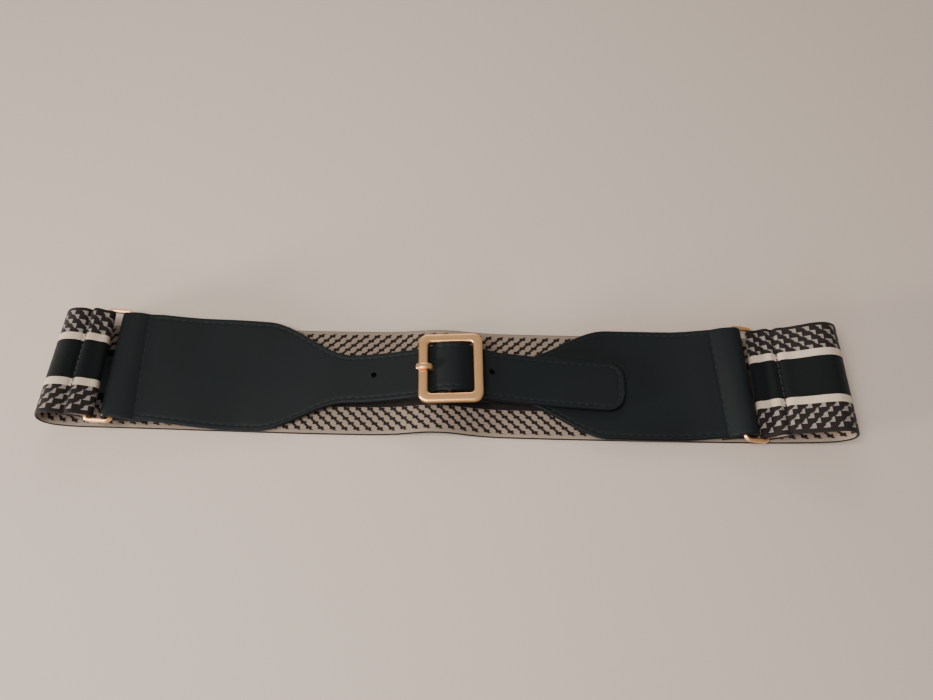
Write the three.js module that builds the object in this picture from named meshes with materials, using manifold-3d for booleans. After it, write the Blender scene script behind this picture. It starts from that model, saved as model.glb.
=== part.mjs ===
// A wide stretch waist belt, fastened and lying flattened: a patterned elastic band, two leather panels,
// a square gold buckle with its prong, and two wire rings. Millimetres, +X along the belt, +Y to the far
// edge, +Z up. The origin is on the surface that the belt lies on, under the middle of its length.

import * as THREE from "three";
import { mergeVertices } from "three/addons/utils/BufferGeometryUtils.js";
import Module from "manifold-3d";

const wasm = await Module();
wasm.setup();

// Driving dimensions
const GAP = 0.3;
const ELASTIC_WIDTH = 50;
const ELASTIC_THICKNESS = 1.4;
const LEATHER_WIDTH = 51.8;
const HEM_WIDTH = 50;
const HEM_SLACK = 0.2;
const LEATHER_THICKNESS = 2;
const STRAP_WIDTH = 22.8;
const CHAPE_WIDTH = 21;
const TIP_RADIUS = 7;
const STRAP_END = 79;
const TAPER_LENGTH = 40;
const STRAP_HEM_START = -130;
const STRAP_TAPER_START = -80;
const CHAPE_TAPER_START = 32.5;
const CHAPE_HEM_START = 83;
const HOLE_RADIUS = 1.3;
const PUNCH_LENGTH = 16;
const FIRST_HOLE = { x: -29.3, y: -0.8, z: 7.5 };
const LAST_HOLE = { x: 21.9, y: 0.85, z: 9.5 };

const WIRE = 2.1;
const RING_BAR_SPACING = 9.6;
const RING_INNER_LENGTH = 50.4;
const RING_CORNER = 1.9;

const BUCKLE = { x: 4.2, y: 0.9, turn: 3, width: 27.5, length: 31.7, bar: 4, thickness: 2.8, bottom: 13.3 };
const BUCKLE_EDGES = { corner: 4, windowCorner: 1.6, bevel: 0.7 };
const CENTRE_BAR = { x: BUCKLE.x, y: BUCKLE.y, z: 10.1, radius: 1.3, turn: BUCKLE.turn };
const LUG = { width: 4.4, thickness: 1.9, bottom: 8.6 };
const PRONG = { width: 2.8, thickness: 1.6, loopWall: 1.2, tipRadius: 1.2 };
const PRONG_SLOT = { shift: -1.4, length: 12, height: 10 };

// Bars of the two rings: the inner bar holds leather, the outer bar holds elastic
const LEFT_RING = { x: -145.3, y: 0.6, z: 11.5, slope: 13, turn: 3 };
const RIGHT_RING = { x: 132.8, y: 0.8, z: 6.4, slope: 13, turn: -0.5 };

// How finely paths, folds and round sections are cut
const SAMPLES = 3;
const FOLD_STEPS = 5;
const ACROSS = 3;
const WIRE_SIDES = 10;
const CORNER_STEPS = 4;

const radians = THREE.MathUtils.degToRad;

// Rows of a strip's path, each along its middle surface: x, the heights of the near and the far edge,
// the turn of the cross line seen from above in degrees, and y of the strip's centre line
function path(...rows) {
  return rows.map(([x, near, far, turn = 0, mid = 0]) => ({ x, near, far, turn, mid }));
}

// The arc of a strip folded round a bar, from one angle to another, in degrees up from +X
function fold(bar, radius, from, to) {
  return Array.from({ length: FOLD_STEPS + 1 }, (_, i) => {
    const angle = radians(from + ((to - from) * i) / FOLD_STEPS);
    const z = bar.z + radius * Math.sin(angle);
    return { x: bar.x + radius * Math.cos(angle), near: z, far: z, turn: bar.turn, mid: bar.y };
  });
}

// A closed strip lofted along its path, no lower than the surface that the belt lies on. halfWidth gives
// half the width at a place along x.
function strip(rows, halfWidth, thickness) {
  const heights = new THREE.CatmullRomCurve3(
    rows.map((row) => new THREE.Vector3(row.x, row.near, row.far)), false, "centripetal");
  const offsets = new THREE.CatmullRomCurve3(
    rows.map((row) => new THREE.Vector3(row.turn, row.mid, 0)), false, "catmullrom");
  const count = (rows.length - 1) * SAMPLES;
  const edges = Array.from({ length: count + 1 }, (_, i) => {
    const { x, y, z } = heights.getPoint(i / count);
    const [near, far] = [y, z].map((height) => Math.max(height, thickness / 2));
    const { x: turn, y: mid } = offsets.getPoint(i / count);
    const half = halfWidth(x);
    const dx = half * Math.sin(radians(turn));
    const dy = half * Math.cos(radians(turn));
    return [new THREE.Vector3(x + dx, mid - dy, near), new THREE.Vector3(x - dx, mid + dy, far)];
  });

  const points = [];
  edges.forEach(([near, far], i) => {
    const before = edges[Math.max(i - 1, 0)];
    const after = edges[Math.min(i + 1, count)];
    const across = far.clone().sub(near).normalize();
    for (let j = 0; j <= ACROSS; j += 1) {
      const u = j / ACROSS;
      const along = after[0].clone().lerp(after[1], u).sub(before[0].clone().lerp(before[1], u)).normalize();
      const offset = along.cross(across).normalize().multiplyScalar(thickness / 2);
      const middle = near.clone().lerp(far, u);
      points.push(middle.clone().sub(offset), middle.clone().add(offset));
    }
  });

  // Each section's points run round the strip, so neighbouring sections join quad by quad
  const row = 2 * (ACROSS + 1);
  const loop = [...Array(ACROSS + 1).keys()].map((j) => 2 * j)
    .concat([...Array(ACROSS + 1).keys()].reverse().map((j) => 2 * j + 1));
  const triangles = [];
  for (let i = 0; i < count; i += 1) {
    loop.forEach((a, k) => {
      const b = loop[(k + 1) % row];
      const [p, q] = [i * row + a, i * row + b];
      triangles.push(p, q, p + row, q, q + row, p + row);
    });
  }
  const last = count * row;
  for (let j = 0; j < ACROSS; j += 1) {
    const [a, b, c, d] = [2 * j, 2 * j + 1, 2 * j + 2, 2 * j + 3];
    triangles.push(a, b, c, b, d, c);
    triangles.push(last + a, last + c, last + b, last + b, last + c, last + d);
  }
  return geometryOf(points, triangles);
}

function geometryOf(points, triangles) {
  const geometry = new THREE.BufferGeometry().setFromPoints(points);
  geometry.setIndex(triangles);
  return geometry;
}

// A wire bent along a closed flat outline, as one closed ring
function wireLoop(shape, radius) {
  const outline = shape.getPoints(CORNER_STEPS);
  if (outline[0].distanceTo(outline.at(-1)) < radius / 1000) outline.pop();
  const count = outline.length;
  const points = outline.flatMap((place, i) => {
    const along = outline[(i + 1) % count].clone().sub(outline[(i + count - 1) % count]).normalize();
    return Array.from({ length: WIRE_SIDES }, (_, k) => {
      const angle = (2 * Math.PI * k) / WIRE_SIDES;
      const out = radius * Math.cos(angle);
      return new THREE.Vector3(place.x + along.y * out, place.y - along.x * out, radius * Math.sin(angle));
    });
  });
  const triangles = outline.flatMap((_, i) => [...Array(WIRE_SIDES).keys()].flatMap((k) => {
    const [p, q] = [i * WIRE_SIDES + k, i * WIRE_SIDES + ((k + 1) % WIRE_SIDES)];
    const next = ((i + 1) % count - i) * WIRE_SIDES;
    return [p, p + next, q, q, p + next, q + next];
  }));
  return geometryOf(points, triangles);
}

function roundedRectangle(width, length, radius, into = new THREE.Shape()) {
  const [x, y] = [width / 2 - radius, length / 2 - radius];
  into.absarc(x, -y, radius, -Math.PI / 2, 0);
  into.absarc(x, y, radius, 0, Math.PI / 2);
  into.absarc(-x, y, radius, Math.PI / 2, Math.PI);
  into.absarc(-x, -y, radius, Math.PI, 1.5 * Math.PI);
  into.closePath();
  return into;
}

// Solids for cutting and joining
function solidOf(geometry, ...placing) {
  const bare = geometry.clone();
  bare.deleteAttribute("normal");
  bare.deleteAttribute("uv");
  placing.forEach((matrix) => bare.applyMatrix4(matrix));
  const merged = mergeVertices(bare);
  return new wasm.Manifold(new wasm.Mesh({
    numProp: 3,
    vertProperties: new Float32Array(merged.attributes.position.array),
    triVerts: new Uint32Array(merged.index.array),
  }));
}

function geometryFrom(solid) {
  const mesh = solid.getMesh();
  const geometry = new THREE.BufferGeometry();
  geometry.setAttribute("position", new THREE.BufferAttribute(mesh.vertProperties, 3));
  geometry.setIndex(new THREE.BufferAttribute(mesh.triVerts, 1));
  return geometry;
}

const moveTo = (x, y, z) => new THREE.Matrix4().makeTranslation(x, y, z);
const turnAboutZ = (degrees) => new THREE.Matrix4().makeRotationZ(radians(degrees));
const layAlongY = new THREE.Matrix4().makeRotationX(Math.PI / 2);

// A bar of a ring, as the leather and the elastic meet it
function ringBar(ring, side) {
  const reach = (side * RING_BAR_SPACING) / 2;
  const angle = radians(ring.slope);
  return { ...ring, x: ring.x + reach * Math.cos(angle), z: ring.z - reach * Math.sin(angle) };
}

const smoothStep = THREE.MathUtils.smoothstep;
const taper = (from, to, start, x) => from + (to - from) * smoothStep(x, start, start + TAPER_LENGTH);

const foldRadius = (thickness) => WIRE / 2 + GAP + thickness / 2;

// The elastic: from the stitched end under the left ring round both ends of the belt to the right ring
function elasticBand() {
  const left = ringBar(LEFT_RING, -1);
  const right = { ...ringBar(RIGHT_RING, 1), y: 0.7 };
  const radius = foldRadius(ELASTIC_THICKNESS);
  const rows = [
    ...path([-159.4, 13.9, 13.9, 0, 0.4], [-157.4, 13.9, 13.9, 0.5, 0.5], [-154, 12.8, 12.8, 2, 0.6]),
    ...fold(left, radius, -100, 95),
    ...path(
      [-153.6, 16, 16.2, 2, 0.6], [-156, 16.2, 16.4, 1, 0.5], [-157.6, 15.6, 15.8, 0.5, 0.4],
      [-159.4, 16.6, 16.6, 0, 0.3], [-162.3, 17.6, 17.4, 0, 0.2], [-165.6, 17.1, 16.8, 0, 0.2],
      [-168.5, 14.8, 14.6, 0, 0.2], [-170.45, 11.6, 11.4, 0, 0.1], [-171.25, 8.4, 8.2],
      [-170.45, 5, 4.9], [-167.8, 2.6, 2.3], [-163.8, 1.5, 1.1], [-158, 0.9, 0.7, 0, -0.1],
      [-150, 0.7, 0.7, 0, -0.1], [-125, 0.7, 0.7, 0, -0.2], [-90, 0.7, 0.7, 0, -0.5],
      [-60, 0.7, 0.7, 0, -0.7], [-36, 0.7, 0.7, 0, -0.6], [-27, 0.8, 0.75, 0, -0.5],
      [-19, 1.7, 1.2, 0, -0.4], [-12, 3.5, 2.2, 0, -0.3], [-5.5, 4.8, 3, 0, -0.2], [0, 5, 3.2, 0, -0.2],
      [5.5, 4.3, 2.8, 0, -0.2], [11.5, 2.8, 2, 0, -0.3], [18, 1.3, 1.1, 0, -0.3],
      [25, 0.7, 0.7, 0, -0.4], [50, 0.7, 0.7, 0, -0.5], [80, 0.7, 0.7, 0, -0.4],
      [110, 0.7, 0.7, 0, -0.2], [128, 0.8, 0.7], [140, 1.4, 0.8], [151.6, 2.4, 1.1], [160, 3.6, 1.9],
      [165.8, 5, 3.4], [169.5, 7.4, 6], [171.1, 10.4, 9.6], [170.6, 13.8, 13.2], [168.4, 17, 16.4],
      [164.6, 18.7, 17.7, 0, 0.1], [160, 17.9, 16.8, 0, 0.1], [154.8, 15.8, 14.1, 0, 0.2],
      [150.2, 13.9, 11.6, 0, 0.4], [146.5, 12.2, 10.2, 0, 0.6], [144.9, 11.3, 9.3, 0, 0.6],
      [142.3, 10.7, 9.2, 0, 0.7]),
    ...fold(right, radius, 75, 280),
    ...path([141.1, 5.4, 5, 0, 0.7], [144, 8.1, 6.4, 0, 0.6], [146.1, 9.2, 7, 0, 0.6]),
  ];
  return strip(rows, () => ELASTIC_WIDTH / 2, ELASTIC_THICKNESS);
}

// The prong's arm, from the top of its loop up through the strap and over the buckle's left bar
const PRONG_ARM = path(
  [4.2, 12.5, 12.5], [2, 12.3, 12.3], [-0.2, 12.2, 12.2], [-2, 12.7, 12.7], [-3.3, 14.2, 14.2],
  [-4.3, 16.2, 16.2], [-5.6, 17.2, 17.2], [-7.2, 17.4, 17.4], [-8.8, 17.2, 17.2], [-9.8, 16.7, 16.7],
  [-10.4, 16, 16]);

function prongArm(clearance) {
  const tip = PRONG_ARM.at(-1).x;
  const half = PRONG.width / 2;
  const width = (x) => clearance + half - PRONG.tipRadius * roundedEnd(x - tip, PRONG.tipRadius);
  return strip(PRONG_ARM, width, PRONG.thickness + 2 * clearance);
}

// How much of its corner radius a round-cornered end has lost, at a distance from its end
function roundedEnd(distance, radius) {
  const inside = Math.min(Math.max(1 - distance / radius, 0), 1);
  return 1 - Math.sqrt(1 - inside * inside);
}

// Strap panel: hem round the left ring, wide panel, taper, strap through the buckle, free round tip
function leatherStrapPanel() {
  const hem = { ...ringBar(LEFT_RING, 1), x: -141.07, turn: 2.2 };
  const rows = [
    ...path([-127.8, 6.8, 8.8, 1, 0.5], [-131.1, 7.1, 8.9, 3, 0.6], [-135.6, 7.6, 8.6, 2, 0.6]),
    ...fold(hem, foldRadius(LEATHER_THICKNESS) + HEM_SLACK, 275, 75),
    ...path(
      [-135.6, 11.8, 12.8, 2.5, 0.6], [-131.1, 9.6, 11.6, 4, 0.6], [-126, 9.1, 11.3, 2.5, 0.5],
      [-118, 8.2, 10.1, 1.5, 0.2], [-108, 6.7, 8.6, 1, -0.1], [-97, 4.7, 7.7, 0, -0.2],
      [-87, 3.4, 6.8, 0, -0.2], [-77, 3.6, 5.7, 0, -0.3], [-70, 3.9, 5.3, 0, -0.5],
      [-63, 4.3, 5.3, 0, -0.8], [-56, 4.9, 5.5, 0, -1.2], [-49, 5.5, 5.8, 0, -1.6],
      [-42, 6.1, 6.2, 0, -1.8], [-32, 7.2, 7.2, 0, -1.7], [-22, 8.8, 8.8, 1, -1.2],
      [-14, 10.2, 10.2, 2, -0.6], [-8, 11, 11, 3, 0.1], [-4.6, 12.1, 12.1, 3, 0.6],
      [-2, 14.1, 14.1, 3, 1], [0.8, 15.5, 15.5, 3, 1.15], [4.4, 16, 16, 3, 1.15],
      [8.2, 15.6, 15.6, 3, 1.25], [10.9, 14.2, 14.2, 3, 1.35], [14, 12.1, 12.1, 3, 1.2],
      [18.5, 10.8, 10.8, 2, 0.4], [24, 9.6, 9.6, 0, -0.4], [34, 8.5, 8.5, -2, -1], [46, 7.5, 7.5, -3, -1.6],
      [58, 7, 7, -3, -2.2], [68, 6.8, 6.6, -3, -2.7], [73, 6.8, 6.5, -3, -2.9],
      [76.4, 6.8, 6.5, -3, -3.1], [78.3, 6.8, 6.5, -3, -3.2], [STRAP_END, 6.8, 6.5, -3, -3.2]),
  ];
  const halfWidth = (x) => Math.min(
    taper(HEM_WIDTH, LEATHER_WIDTH, STRAP_HEM_START, x),
    taper(LEATHER_WIDTH, STRAP_WIDTH, STRAP_TAPER_START, x),
  ) / 2 - TIP_RADIUS * roundedEnd(STRAP_END - x, TIP_RADIUS);
  let solid = solidOf(strip(rows, halfWidth, LEATHER_THICKNESS));

  const punch = new THREE.CylinderGeometry(HOLE_RADIUS, HOLE_RADIUS, PUNCH_LENGTH, WIRE_SIDES);
  for (const hole of [FIRST_HOLE, LAST_HOLE]) {
    solid = solid.subtract(solidOf(punch, layAlongY, moveTo(hole.x, hole.y, hole.z)));
  }
  const arm = [turnAboutZ(BUCKLE.turn), moveTo(BUCKLE.x, BUCKLE.y, 0)];
  solid = solid.subtract(solidOf(prongArm(GAP), moveTo(-BUCKLE.x, 0, 0), ...arm));
  return geometryFrom(solid);
}

// Chape panel: end folded under the buckle's centre bar, taper, wide panel, hem round the right ring
function leatherChapePanel() {
  const hem = { ...ringBar(RIGHT_RING, -1), x: 129, y: 0.7, z: 7.6, turn: 2 };
  const barRadius = CENTRE_BAR.radius + GAP + LEATHER_THICKNESS / 2;
  const rows = [
    ...path(
      [32, 2.9, 2.8, 0, 0.1], [24, 3.5, 3.5, 0, 0.4], [17, 4.8, 4.8, 2, 0.7], [10.5, 6.4, 6.4, 3, 0.9]),
    ...fold(CENTRE_BAR, barRadius, 285, 70),
    ...path(
      [8.4, 11.5, 11.5, 3, 0.9], [12.4, 9.4, 9.4, 3, 0.8], [17, 8.3, 8.3, 2, 0.5], [24, 7.1, 7.1],
      [31, 6.2, 6.2, 0, -0.3], [38, 5.4, 5.4, 0, -0.4], [45, 4.9, 4.8, 0, -0.4],
      [52, 4.5, 4.3, 0, -0.3], [59, 4.3, 3.9, 0, -0.2], [66, 4.2, 3.6, 0, -0.2],
      [74, 4.2, 3.6, 0, -0.2], [84, 4.1, 3.8, 0, -0.3], [95, 3.9, 4.4, 0, -0.4],
      [105, 3.8, 5.5, 0, -0.3], [113, 4.5, 6.7, 2, 0.1], [120.6, 5.9, 7.9, 4, 0.5],
      [124.8, 9, 9.4, 2.5, 0.7]),
    ...fold(hem, foldRadius(LEATHER_THICKNESS) + HEM_SLACK, 105, -95),
    ...path([124.2, 4.4, 5.3, 2.5, 0.6], [120.6, 3.6, 5.5, 4, 0.5], [118, 2.8, 4.7, 3, 0.4]),
  ];
  const halfWidth = (x) => Math.min(
    taper(CHAPE_WIDTH, LEATHER_WIDTH, CHAPE_TAPER_START, x),
    taper(LEATHER_WIDTH, HEM_WIDTH, CHAPE_HEM_START, x),
  ) / 2;
  const slotWidth = PRONG.width + 4 * GAP;
  const slot = new THREE.BoxGeometry(PRONG_SLOT.length, slotWidth, PRONG_SLOT.height);
  const slotPlace = moveTo(BUCKLE.x + PRONG_SLOT.shift, BUCKLE.y, CENTRE_BAR.z);
  const solid = solidOf(strip(rows, halfWidth, LEATHER_THICKNESS))
    .subtract(solidOf(slot, turnAboutZ(BUCKLE.turn), slotPlace));
  return geometryFrom(solid);
}

// Cast frame with softened edges, and the centre bar dropped below it on two lugs
function buckleFrame() {
  const { corner, windowCorner, bevel } = BUCKLE_EDGES;
  const outline = roundedRectangle(BUCKLE.width, BUCKLE.length, corner);
  const window = [BUCKLE.width - 2 * BUCKLE.bar, BUCKLE.length - 2 * BUCKLE.bar];
  outline.holes.push(roundedRectangle(...window, windowCorner, new THREE.Path()));
  const frame = new THREE.ExtrudeGeometry(outline, {
    depth: BUCKLE.thickness - 2 * bevel,
    curveSegments: CORNER_STEPS,
    bevelThickness: bevel,
    bevelSize: bevel,
    bevelOffset: -bevel,
    bevelSegments: 2,
  });
  const inner = window[1] / 2;
  const bar = new THREE.CylinderGeometry(
    CENTRE_BAR.radius, CENTRE_BAR.radius, window[1] + LUG.thickness, WIRE_SIDES + 2);
  const top = BUCKLE.bottom + BUCKLE.thickness / 2;
  const lug = new THREE.BoxGeometry(LUG.width, LUG.thickness, top - LUG.bottom);
  let solid = solidOf(frame, moveTo(0, 0, BUCKLE.bottom + bevel))
    .add(solidOf(bar, moveTo(0, 0, CENTRE_BAR.z)));
  for (const side of [-1, 1]) {
    const y = side * (inner + LUG.thickness / 2);
    solid = solid.add(solidOf(lug, moveTo(0, y, (top + LUG.bottom) / 2)));
  }
  return geometryFrom(solid);
}

// Prong: a loop round the centre bar and the arm that comes up through the strap
function bucklePin() {
  const inner = CENTRE_BAR.radius + GAP;
  const side = new THREE.Shape().absarc(0, 0, inner + PRONG.loopWall, 0, 2 * Math.PI);
  side.holes.push(new THREE.Path().absarc(0, 0, inner, 0, 2 * Math.PI, true));
  const loop = new THREE.ExtrudeGeometry(side, {
    depth: PRONG.width, curveSegments: WIRE_SIDES, bevelEnabled: false,
  });
  const arm = solidOf(prongArm(0), moveTo(-BUCKLE.x, 0, 0));
  return geometryFrom(arm.add(solidOf(loop, layAlongY, moveTo(0, PRONG.width / 2, CENTRE_BAR.z))));
}

function wireRing() {
  return wireLoop(roundedRectangle(RING_BAR_SPACING, RING_INNER_LENGTH + WIRE, RING_CORNER), WIRE / 2);
}

// Materials
const woven = new THREE.MeshStandardMaterial({ color: 0x8d8378, roughness: 0.9, metalness: 0 });
const leather = new THREE.MeshStandardMaterial({ color: 0x1f2728, roughness: 0.5, metalness: 0 });
const gold = new THREE.MeshStandardMaterial({ color: 0xd9a066, roughness: 0.25, metalness: 1 });

function piece(name, geometry, material) {
  geometry.computeVertexNormals();
  const mesh = new THREE.Mesh(geometry, material);
  mesh.name = name;
  return mesh;
}

function ringNode(name, ring) {
  const mesh = piece(name, wireRing(), gold);
  mesh.position.set(ring.x, ring.y, ring.z);
  mesh.rotation.set(0, radians(ring.slope), radians(ring.turn), "ZYX");
  return mesh;
}

const belt = new THREE.Group();
belt.add(piece("elastic_band", elasticBand(), woven));
belt.add(piece("leather_strap_panel", leatherStrapPanel(), leather));
belt.add(piece("leather_chape_panel", leatherChapePanel(), leather));
belt.add(ringNode("ring_left", LEFT_RING));
belt.add(ringNode("ring_right", RIGHT_RING));

const buckle = new THREE.Group();
buckle.position.set(BUCKLE.x, BUCKLE.y, 0);
buckle.rotation.z = radians(BUCKLE.turn);
buckle.add(piece("buckle_frame", buckleFrame(), gold));
buckle.add(piece("buckle_prong", bucklePin(), gold));
belt.add(buckle);

export default belt;
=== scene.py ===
import bpy
import numpy as np
from mathutils import Matrix


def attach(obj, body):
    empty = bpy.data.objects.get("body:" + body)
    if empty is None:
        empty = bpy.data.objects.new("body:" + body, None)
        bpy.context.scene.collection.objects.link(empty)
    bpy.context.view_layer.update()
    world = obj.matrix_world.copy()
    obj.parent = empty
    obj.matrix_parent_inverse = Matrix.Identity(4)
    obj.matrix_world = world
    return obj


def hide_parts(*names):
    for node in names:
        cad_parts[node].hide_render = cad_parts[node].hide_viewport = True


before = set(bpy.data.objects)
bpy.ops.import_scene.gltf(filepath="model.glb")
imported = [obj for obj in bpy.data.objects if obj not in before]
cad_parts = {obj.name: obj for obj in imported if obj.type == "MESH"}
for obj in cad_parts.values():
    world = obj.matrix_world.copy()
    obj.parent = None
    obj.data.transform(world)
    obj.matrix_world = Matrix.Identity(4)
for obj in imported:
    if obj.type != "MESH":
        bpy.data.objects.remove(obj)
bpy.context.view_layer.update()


# Studio
# The belt lies on a pale matt table, seen from its near side by a hand-held camera of 27 mm equivalent
# focal length, 64 degrees down. Daylight comes in low from the left, with weaker light from overhead, from
# the wall beyond the belt and from the sky on the near side.
MM = 0.001
CAMERA_PLACE = np.array([19.7, -123.9, 286.3]) * MM
CAMERA_YAW, CAMERA_PITCH, CAMERA_ROLL = np.radians([-3.89, 63.8, -2.27])
PHOTO_WIDTH, FOCAL_PIXELS, SENSOR = 933, 700, 36.0
CLIP_START = 0.01


def linear(colour):
    """Turns an sRGB hex colour into linear red, green, blue and full alpha: below 0.04045 the value is
    divided by 12.92, above it the value plus 0.055 is divided by 1.055 and raised to 2.4."""
    value = np.array([int(colour[i:i + 2], 16) for i in (1, 3, 5)]) / 255
    curved = ((value + 0.055) / 1.055) ** 2.4
    return (*np.where(value <= 0.04045, value / 12.92, curved), 1.0)


def add(tree, kind, links=(), **settings):
    """Adds a node of a kind, sets its properties, and links or sets its inputs in order, or by name where
    links is a dictionary. It gives the node."""
    node = tree.nodes.new("ShaderNode" + kind)
    for name, value in settings.items():
        setattr(node, name, value)
    for key, value in links.items() if isinstance(links, dict) else enumerate(links):
        if isinstance(value, bpy.types.NodeSocket):
            tree.links.new(value, node.inputs[key])
        elif value is not None:
            node.inputs[key].default_value = value
    return node


def new_material(name):
    """A material with an empty node tree and its output node."""
    material = bpy.data.materials.new(name)
    material.use_nodes = True
    material.node_tree.nodes.clear()
    return material, material.node_tree, add(material.node_tree, "OutputMaterial")


def camera_at(place, yaw, pitch, roll):
    """A camera whose forward axis is turned by yaw from +Y and down by pitch, then rolled about itself."""
    forward = np.array([np.sin(yaw) * np.cos(pitch), np.cos(yaw) * np.cos(pitch), -np.sin(pitch)])
    level = np.array([np.cos(yaw), -np.sin(yaw), 0.0])
    upright = np.cross(level, forward)
    right = level * np.cos(roll) + upright * np.sin(roll)
    up = upright * np.cos(roll) - level * np.sin(roll)
    camera = bpy.data.objects.new("camera", bpy.data.cameras.new("camera"))
    pose = np.eye(4)
    pose[:3] = np.stack([right, up, -forward, place], axis=1)
    camera.matrix_world = Matrix(pose.tolist())
    bpy.context.collection.objects.link(camera)
    return camera


camera = camera_at(CAMERA_PLACE, CAMERA_YAW, CAMERA_PITCH, CAMERA_ROLL)
camera.data.sensor_width = SENSOR
camera.data.lens = SENSOR * FOCAL_PIXELS / PHOTO_WIDTH
camera.data.clip_start = CLIP_START
bpy.context.scene.camera = camera

TABLE_SIZE = 4.0
TABLE_DROP = 0.05 * MM
table_mesh = bpy.data.meshes.new("table")
half_table = TABLE_SIZE / 2
table_mesh.from_pydata(
    [(x, y, -TABLE_DROP) for x, y in ((-half_table, -half_table), (half_table, -half_table),
                                      (half_table, half_table), (-half_table, half_table))],
    [], [(0, 1, 2, 3)])
table = bpy.data.objects.new("table", table_mesh)
bpy.context.collection.objects.link(table)

# Matt laminate: a pale warm grey that gives only a faint, wide gloss
laminate, tree, output = new_material("pale_laminate")
surface = add(tree, "BsdfPrincipled", {
    "Base Color": linear("#cec0b3"), "Roughness": 0.62, "Specular IOR Level": 0.35})
tree.links.new(surface.outputs[0], output.inputs[0])
table_mesh.materials.append(laminate)

SKY_STRENGTH = 0.42
world = bpy.data.worlds.new("daylight")
world.use_nodes = True
world.node_tree.nodes["Background"].inputs[0].default_value = linear("#ece6e0")
world.node_tree.nodes["Background"].inputs[1].default_value = SKY_STRENGTH
bpy.context.scene.world = world


def window(name, place, target, size, power, colour):
    """An area light at a place, turned to face a target."""
    light = bpy.data.lights.new(name, "AREA")
    light.shape = "RECTANGLE"
    light.size, light.size_y = size
    light.energy = power
    light.color = linear(colour)[:3]
    lamp = bpy.data.objects.new(name, light)
    back = np.subtract(place, target)
    back = back / np.linalg.norm(back)
    across = np.cross([0, 0, 1], back)
    across = across / np.linalg.norm(across)
    pose = np.eye(4)
    pose[:3] = np.stack([across, np.cross(back, across), back, place], axis=1)
    lamp.matrix_world = Matrix(pose.tolist())
    bpy.context.collection.objects.link(lamp)


window("low_window", (-1.28, -0.47, 0.19), (-0.05, 0, 0), (0.3, 0.2), 25.0, "#fff4e6")
window("overhead", (-0.24, -0.18, 0.66), (-0.02, 0.1, 0), (0.3, 0.3), 4.3, "#fff8f2")
window("far_wall", (-0.2, 1.3, 0.9), (-0.05, 0.1, 0), (0.8, 0.6), 4.0, "#fff7ef")
window("near_sky", (-0.35, -1.3, 0.55), (0, 0, 0), (0.4, 0.25), 5.0, "#cddfff")


# Elastic band
# One strip of jacquard woven webbing with rubber cores, cream and near-black, whose inner face shows the
# colours the other way round. It is hemmed round both rings and lies in a flattened loop.
ELASTIC_WIDTH, ELASTIC_THICKNESS = 50.0, 1.4
WIRE, GAP = 2.1, 0.3
RING_BAR_SPACING = 9.6
LEFT_RING = {"x": -145.3, "y": 0.6, "z": 11.5, "slope": 13, "turn": 3}
RIGHT_RING = {"x": 132.8, "y": 0.8, "z": 6.4, "slope": 13, "turn": -0.5}
FOLD_STEPS, SPAN_CUTS, EDGE_CUTS = 5, 24, 5


def ring_bar(ring, side):
    """The centre of a ring's inner or outer bar: half the bars' spacing from the ring's centre, along its
    slope."""
    reach, angle = side * RING_BAR_SPACING / 2, np.radians(ring["slope"])
    return {**ring, "x": ring["x"] + reach * np.cos(angle), "z": ring["z"] - reach * np.sin(angle)}


def path(*rows):
    """A path's table: x, heights of the near and far edge, turn of the cross line in degrees, y of the
    centre line, in millimetres, along the strip's middle surface."""
    return np.array([(*row, *(0,) * (5 - len(row))) for row in rows], float)


def fold(bar, radius, start, end):
    """Rows along the arc of a strip folded round a bar, from one angle to another."""
    angle = np.radians(np.linspace(start, end, FOLD_STEPS + 1))
    x, z = bar["x"] + radius * np.cos(angle), bar["z"] + radius * np.sin(angle)
    return np.stack([x, z, z, np.full_like(x, bar["turn"]), np.full_like(x, bar["y"])], axis=1)


def smooth(rows, step):
    """A centripetal Catmull-Rom curve through the rows: on each span the place is a cubic Hermite blend of
    its two ends and their slopes, which come from the square roots of the spans. It is cut at steps whose
    length is a function of x, and comes with the distance s of each cut."""
    ends = np.vstack([2 * rows[0] - rows[1], rows, 2 * rows[-1] - rows[-2]])
    spans = np.linalg.norm(np.diff(ends[:, :3], axis=0), axis=1)[:, None] ** 0.5
    before, span, after = spans[:-2], spans[1:-1], spans[2:]
    p0, p1, p2, p3 = (ends[i:len(ends) - 3 + i] for i in range(4))
    slope1 = ((p1 - p0) / before - (p2 - p0) / (before + span)) * span + p2 - p1
    slope2 = ((p3 - p2) / after - (p3 - p1) / (span + after)) * span + p2 - p1
    t = np.linspace(0, 1, SPAN_CUTS, endpoint=False)[:, None, None]
    curve = ((2 * t**3 - 3 * t**2 + 1) * p1 + (t**3 - 2 * t**2 + t) * slope1
             + (3 * t**2 - 2 * t**3) * p2 + (t**3 - t**2) * slope2)
    curve = np.vstack([curve.transpose(1, 0, 2).reshape(-1, rows.shape[1]), rows[-1:]])
    middle = np.stack([curve[:, 0], (curve[:, 1] + curve[:, 2]) / 2], axis=1)
    spans = np.linalg.norm(np.diff(middle, axis=0), axis=1)
    length = np.append(0, spans.cumsum())
    count = np.append(0, (spans / step(middle[1:, 0])).cumsum())
    s = np.interp(np.linspace(0, count[-1], int(count[-1]) + 1), count, length)
    return s, np.stack([np.interp(s, length, column) for column in curve.T], axis=1)


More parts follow.
